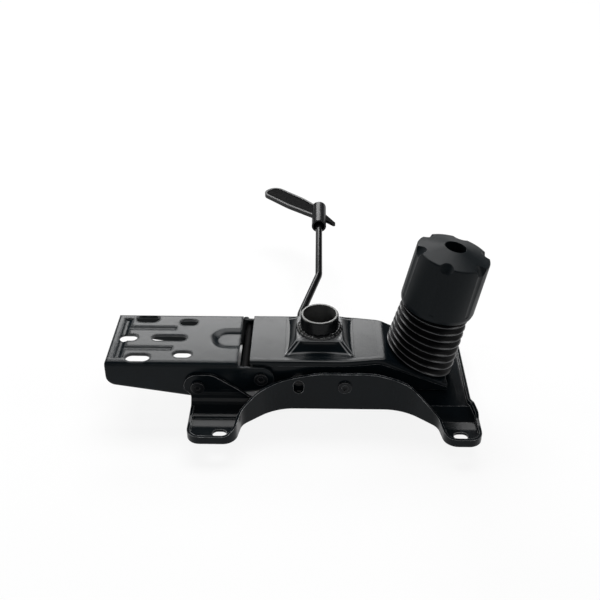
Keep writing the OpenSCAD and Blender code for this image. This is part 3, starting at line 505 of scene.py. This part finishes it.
def bellowsRing(u, radius):
    lean = Matrix.Rotation(bellows["lean"] * (1.0 - u), 4, "Y")
    height = bellows["low"] + (bellows["high"] - bellows["low"]) * u
    spot = boltFrame @ Matrix.Translation((bellows["shift"] * (1.0 - u), 0.0, height)) @ lean
    angles = roundAngles(bellows["sides"])
    return [spot @ Vector((radius * math.cos(a), radius * math.sin(a), 0.0)) for a in angles]


def crestAt(u):
    across = (bellows["folds"] * u) % 1.0
    return (1.0 - abs(2.0 * across - 1.0)) ** bellows["thin"]


def foldRadius(u):
    swell = (bellows["ridge"] - bellows["valley"]) * crestAt(u)
    return bellows["valley"] + swell + bellows["spread"] * (1.0 - u)


# A tube of folds from one fold to another, with its wall
def bellowsPiece(name, first, last, body):
    steps = round((last - first) * bellows["stepsPerFold"])
    marks = [(first + (last - first) * i / steps) / bellows["folds"] for i in range(steps + 1)]
    outside = [bellowsRing(u, foldRadius(u)) for u in marks]
    inside = [bellowsRing(u, foldRadius(u) - bellows["wall"]) for u in reversed(marks)]
    crests = [crestAt(u) for u in marks] + [0.0 for u in marks]
    return meshPiece(name, outside + inside, bellowsRubber, body, crests)


# A plain inner tube in the valleys' painted shade colour, which shows dark where the folds part as they move
def sleevePiece(name, first, last, body):
    radius = bellows["valley"] - bellows["slack"]
    inner = radius - bellows["wall"]
    rings = [bellowsRing(u, r) for u, r in ((first, radius), (last, radius), (last, inner), (first, inner))]
    return meshPiece(name, rings, bellowsRubber, body, [0.0 for ring in rings])


def travel(jointName):
    return max(abs(v) for v in joints[jointName]["range_m"])


splitAt = bellows["splitFold"] / bellows["folds"]
length = bellows["high"] - bellows["low"]
lowerBellows = bellowsPiece("bellowsLower", 0, bellows["splitFold"], "housing")
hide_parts("bellows")
1.0 - travel("bolt_pull") / (length * splitAt)
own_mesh(lowerBellows)
upperBellows = bellowsPiece("bellowsUpper", bellows["splitFold"], bellows["folds"], "tension_bolt")
1.0 - travel("cap_travel") / (length * (1.0 - splitAt))
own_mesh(upperBellows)

sleevePiece("bellowsFoot", 0.0, bellows["lap"], "housing")
sleevePiece("bellowsSleeve", splitAt - 0.5 * bellows["lap"], splitAt + bellows["lap"], "tension_bolt")


print("spring")
spring = {"wire": 0.0046, "mean": 0.041, "turns": 5.5, "stepsPerTurn": 24, "sides": 12, "clear": 0.0002}
heights = [(v.co - boltFoot).dot(boltAxis) for v in nodes["tension_spring"].data.vertices]
springLow = min(heights) + 0.5 * spring["wire"] - spring["clear"]
springHigh = max(heights) - 0.5 * spring["wire"] + spring["clear"]


# A length of the coil between two turns, closed at both ends
def springPiece(name, first, last, body):
    rings = []
    steps = round((last - first) * spring["stepsPerTurn"])
    rise = (springHigh - springLow) / spring["turns"]
    girth = math.pi * spring["mean"]
    for i in range(steps + 1):
        t = first + (last - first) * i / steps
        a = 2.0 * math.pi * t
        out = Vector((math.cos(a), math.sin(a), 0.0))
        way = Vector((-math.sin(a) * girth, math.cos(a) * girth, rise)).normalized()
        up = way.cross(out)
        spot = out * (0.5 * spring["mean"]) + Vector((0.0, 0.0, springLow + rise * t))
        wire = [out * math.cos(b) + up * math.sin(b) for b in roundAngles(spring["sides"])]
        rings.append([boltFrame @ (spot + p * (0.5 * spring["wire"])) for p in wire])
    return meshPiece(name, rings, bareSteel, body, capped=True)


springFoot = springLow - 0.5 * spring["wire"]
springHalf = 0.5 * (springHigh - springLow + spring["wire"])
springLower = springPiece("springLower", 0.0, 0.5 * spring["turns"], "housing")
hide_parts("tension_spring")
boltFoot + boltAxis * springFoot
1.0 - travel("bolt_pull") / springHalf
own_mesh(springLower)
springUpper = springPiece("springUpper", 0.5 * spring["turns"], spring["turns"], "tension_bolt")
springSplit = boltFoot + boltAxis * (springFoot + springHalf)
1.0 - travel("cap_travel") / springHalf
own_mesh(springUpper)


print("weld")
weld = {
    "sides": 216, "arc": 9, "least": 0.86, "ripples": 27, "ripple": 0.3, "drift": 2.0, "driftScale": 2.0,
    "lump": 0.12, "lumpScale": 3.1,
}


# Rings of the bead's section round the tube, with its lumps and ripples
def weldBead():
    rings = []
    spot = Vector((socket["x"], 0.0, socket["foot"]))
    for a in roundAngles(weld["sides"]):
        out = Vector((math.cos(a), math.sin(a), 0.0))
        lump = noise.noise(out * weld["lumpScale"]) * weld["lump"]
        drift = weld["drift"] * noise.noise(out * weld["driftScale"])
        ripple = abs(math.sin(0.5 * weld["ripples"] * a + drift)) * weld["ripple"]
        leg = socket["leg"] * (weld["least"] + lump + ripple)
        ring = []
        for i in range(weld["arc"] + 1):
            b = 0.5 * math.pi * i / weld["arc"]
            ring.append((leg * math.cos(b), leg * math.sin(b)))
        ring.append((0.0, 0.0))
        rings.append([spot + out * (socket["outside"] + r) + Vector((0.0, 0.0, z)) for r, z in ring])
    return rings


weldPiece = meshPiece("socketWeld", weldBead(), weldPaint, "housing")
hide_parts("socket_weld")


print("stage")
paper = {
    "half": 30.0, "level": -0.016, "tone": (0.8, 0.8, 0.8, 1.0), "glow": 0.88, "soft": 0.006,
    "under": {"x": -0.015, "y": 0.0253, "halfX": 0.1, "halfY": 0.034},
    "foot": {"x": -0.094, "y": 0.07, "halfX": 0.012, "halfY": 0.016},
}


# A patch of the paper without its white, so that it shows the shade under the part
def paperPatch(g, patch):
    across = (g.axis("X") - patch["x"]).absolute()
    along = (g.axis("Y") - patch["y"]).absolute()
    within = g.fit(along, patch["halfY"] + paper["soft"], patch["halfY"])
    return within * g.fit(across, patch["halfX"] + paper["soft"], patch["halfX"])


# White paper: seen white, with a faint shadow. It lies just below the seat plate's front at full tilt
def floorPiece():
    half, level = paper["half"], paper["level"]
    corners = [(-half, -half, level), (half, -half, level), (half, half, level), (-half, half, level)]
    data = bpy.data.meshes.new("floor")
    data.from_pydata(corners, [], [(0, 1, 2, 3)])
    made, g = material("floorPaper")
    rays = ("Is Camera Ray", "Is Glossy Ray", "Is Transmission Ray")
    seen = [g.node("ShaderNodeLightPath", {}, {}, key) for key in rays]
    under = paperPatch(g, paper["under"]).larger(paperPatch(g, paper["foot"]))
    share = (seen[0] + seen[1] + seen[2]).clamped() * paper["glow"] * (1.0 - under)
    diffuse = g.node("ShaderNodeBsdfDiffuse", {}, {"Color": paper["tone"]})
    white = g.node("ShaderNodeEmission", {}, {"Strength": 1.0})
    both = g.node("ShaderNodeMixShader", {}, {0: share, 1: diffuse, 2: white})
    g.node("ShaderNodeOutputMaterial", {}, {"Surface": both})
    data.materials.append(made)
    piece = bpy.data.objects.new("floor", data)
    bpy.context.scene.collection.objects.link(piece)


floorPiece()


# A unit vector by its turn from +Y towards +X and its rise, in radians
def wayTo(turn, rise):
    return Vector((math.sin(turn) * math.cos(rise), math.cos(turn) * math.cos(rise), math.sin(rise)))


# Softboxes by direction from the object: azimuth from +Y towards +X and elevation.
# These and the half angles, wide and high, are in degrees
softboxes = {
    "back": {
        "azimuth": -7.5, "elevation": 30.5, "wide": 13.5, "high": 6.5, "distance": 2.2, "radiance": 12.5,
    },
    "left": {
        "azimuth": -82.0, "elevation": 24.0, "wide": 12.0, "high": 12.0, "distance": 2.0, "radiance": 4.5,
    },
    "front": {
        "azimuth": 176.0, "elevation": 29.0, "wide": 22.0, "high": 8.0, "distance": 2.2, "radiance": 1.8,
    },
    "right": {
        "azimuth": 96.0, "elevation": 27.0, "wide": 14.0, "high": 9.0, "distance": 2.2, "radiance": 4.0,
    },
    "over": {
        "azimuth": 0.0, "elevation": 61.0, "wide": 24.0, "high": 11.0, "distance": 1.8, "radiance": 9.0,
    },
}
aim = Vector((-0.01, 0.0, 0.05))
for name, box in softboxes.items():
    way = wayTo(math.radians(box["azimuth"]), math.radians(box["elevation"]))
    data = bpy.data.lights.new(name, "AREA")
    data.shape = "RECTANGLE"
    data.size = 2.0 * box["distance"] * math.tan(math.radians(box["wide"]))
    data.size_y = 2.0 * box["distance"] * math.tan(math.radians(box["high"]))
    data.energy = box["radiance"] * math.pi * data.size * data.size_y
    lamp = bpy.data.objects.new(name, data)
    lamp.location = aim + way * box["distance"]
    lamp.rotation_euler = way.to_track_quat("Z", "Y").to_euler()
    bpy.context.scene.collection.objects.link(lamp)

# The room: white low down, dim above
room = {"low": -0.02, "high": 0.12, "dim": 0.1, "white": (1.0, 1.0, 1.0, 1.0)}
world = bpy.data.worlds.new("room")
world.use_nodes = True
bpy.context.scene.world = world
g = Graph(world.node_tree)
skyward = g.node("ShaderNodeTexCoord", {}, {}, "Generated")
rise = g.node("ShaderNodeSeparateXYZ", {}, {0: skyward}, "Z")
unseen = 1.0 - g.node("ShaderNodeLightPath", {}, {}, "Is Camera Ray")
upper = g.fit(rise, room["low"], room["high"]) * unseen
white = g.node("ShaderNodeBackground", {}, {"Color": room["white"], "Strength": 1.0})
dim = g.node("ShaderNodeBackground", {}, {"Color": room["white"], "Strength": room["dim"]})
both = g.node("ShaderNodeMixShader", {}, {0: upper, 1: white, 2: dim})
g.node("ShaderNodeOutputWorld", {}, {"Surface": both})

view = {"place": (-0.0227, -0.65757, 0.5008), "turn": -1.03, "down": 32.3, "lens": 54.73, "sensor": 36.0}
cameraData = bpy.data.cameras.new("camera")
cameraData.lens = view["lens"]
cameraData.sensor_width = view["sensor"]
cameraData.sensor_fit = "HORIZONTAL"
camera = bpy.data.objects.new("camera", cameraData)
look = wayTo(math.radians(view["turn"]), -math.radians(view["down"]))
camera.location = view["place"]
camera.rotation_euler = look.to_track_quat("-Z", "Y").to_euler()
bpy.context.scene.collection.objects.link(camera)
bpy.context.scene.camera = camera
bpy.context.scene.view_settings.view_transform = "Standard"
